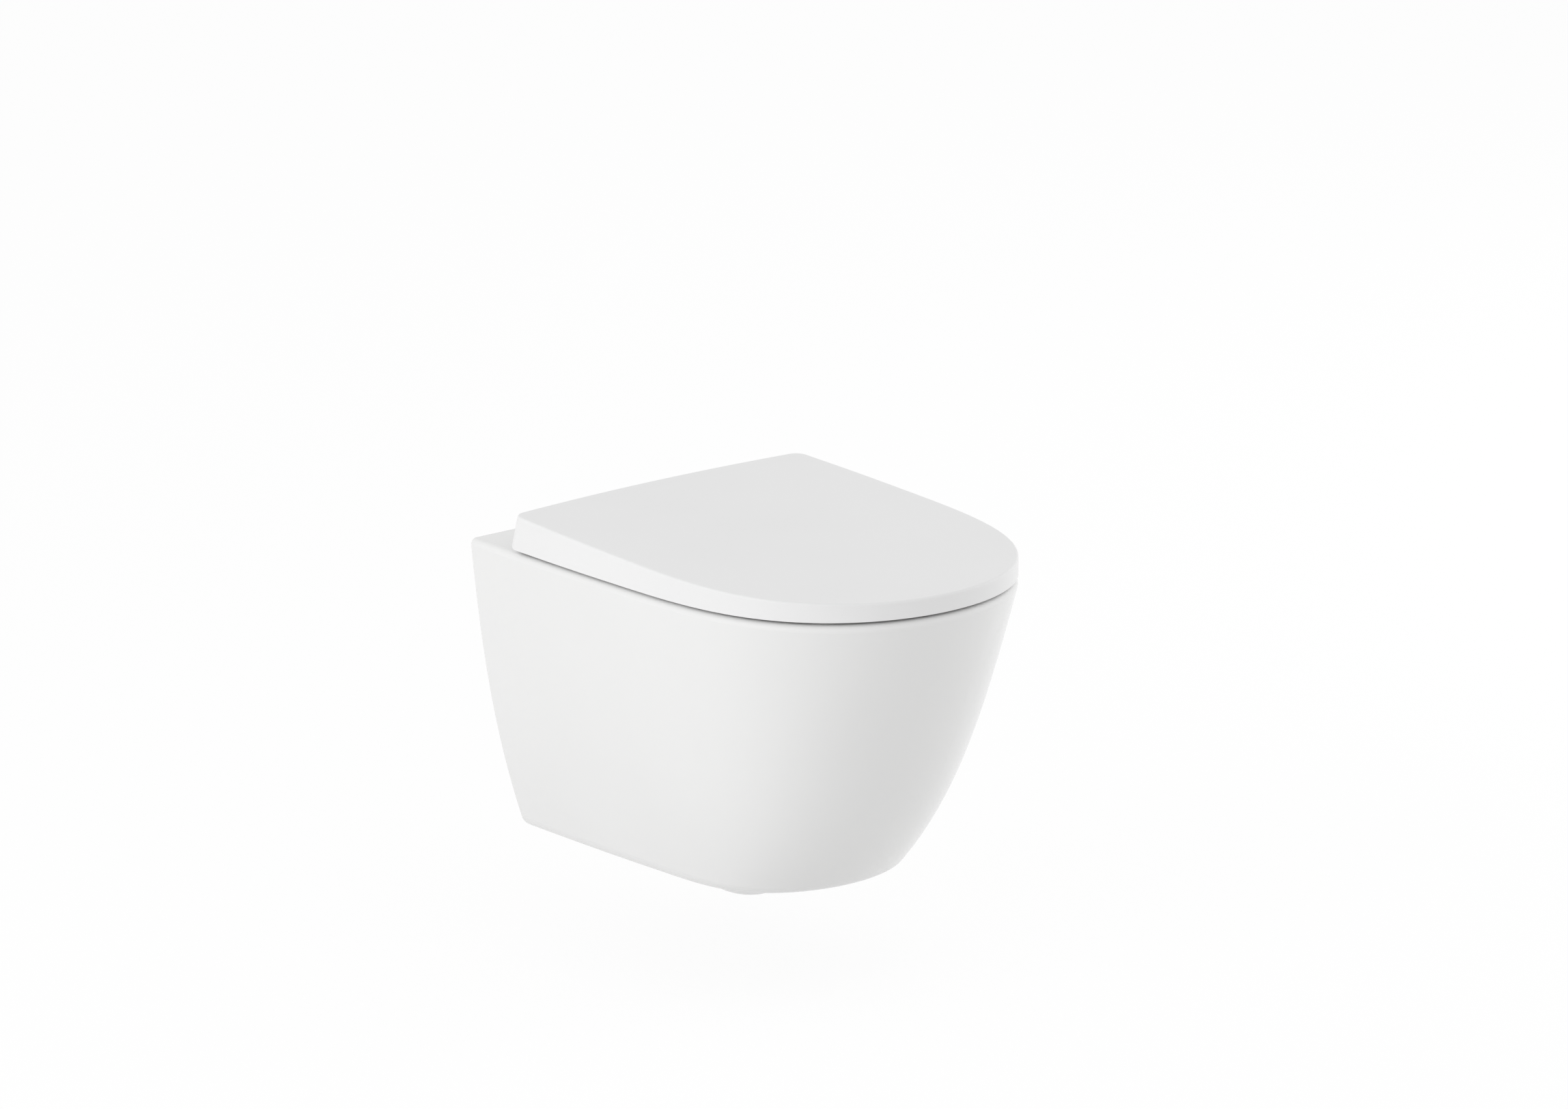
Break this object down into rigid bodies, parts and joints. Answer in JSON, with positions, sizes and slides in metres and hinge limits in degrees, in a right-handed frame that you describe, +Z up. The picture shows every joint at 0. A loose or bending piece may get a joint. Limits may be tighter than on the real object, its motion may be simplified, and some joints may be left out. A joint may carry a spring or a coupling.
{
  "type": "wall hung toilet",
  "caption": "Wall hung toilet pan with a D-shaped rimless bowl, a trap with a horizontal outlet, concealed wall fixings, and a wrap-over soft-close seat and lid.",
  "frame": {"origin": "on the wall face, midway between the two fixing bolts", "axes": "+Z up, +Y into the wall, the pan's nose towards -Y, +X to the right of a person facing the wall"},
  "size_m": [0.36, 0.4931, 0.3757],
  "materials": {
    "china": "gloss",
    "duroplast": "satin",
    "white_rubber": "matte",
    "black_rubber": "matte",
    "grey_nylon": "matte",
    "white_nylon": "matte",
    "hinge_metal": "polished",
    "zinc_steel": "satin",
    "bracket_plastic": "matte"
  },
  "bodies": {
    "pan": {"pan": "china", "inlet_seal": "black_rubber", "hinge_bracket_right": "hinge_metal", "hinge_bracket_left": "hinge_metal", "hinge_axle_right": "zinc_steel", "hinge_axle_left": "zinc_steel", "hinge_gaskets": "white_nylon", "bolt_caps": "hinge_metal", "seat_bolts": "zinc_steel", "expansion_sleeves": "black_rubber", "sleeve_nuts": "white_nylon", "wall_bracket_right": "bracket_plastic", "wall_bracket_left": "bracket_plastic", "wall_washers": "zinc_steel", "wall_nuts": "zinc_steel", "clamp_inserts": "grey_nylon", "clamp_screws": "zinc_steel"},
    "seat": {"seat_ring": "duroplast", "seat_buffers": "white_rubber", "seat_bush": "white_nylon", "seat_damper_housing": "grey_nylon", "seat_damper_cap": "white_nylon"},
    "lid": {"lid": "duroplast", "lid_buffers": "white_rubber", "lid_bush": "white_nylon", "lid_damper_housing": "grey_nylon", "lid_damper_cap": "white_nylon"}
  },
  "joints": [
    {"name": "seat_hinge", "type": "hinge", "parent": "pan", "child": "seat", "pos_m": [0, -0.0695, 0.1], "axis": [-1, 0, 0], "range_deg": [0, 90]},
    {"name": "lid_hinge", "type": "hinge", "parent": "seat", "child": "lid", "pos_m": [0, -0.0695, 0.1], "axis": [-1, 0, 0], "range_deg": [0, 92]}
  ]
}
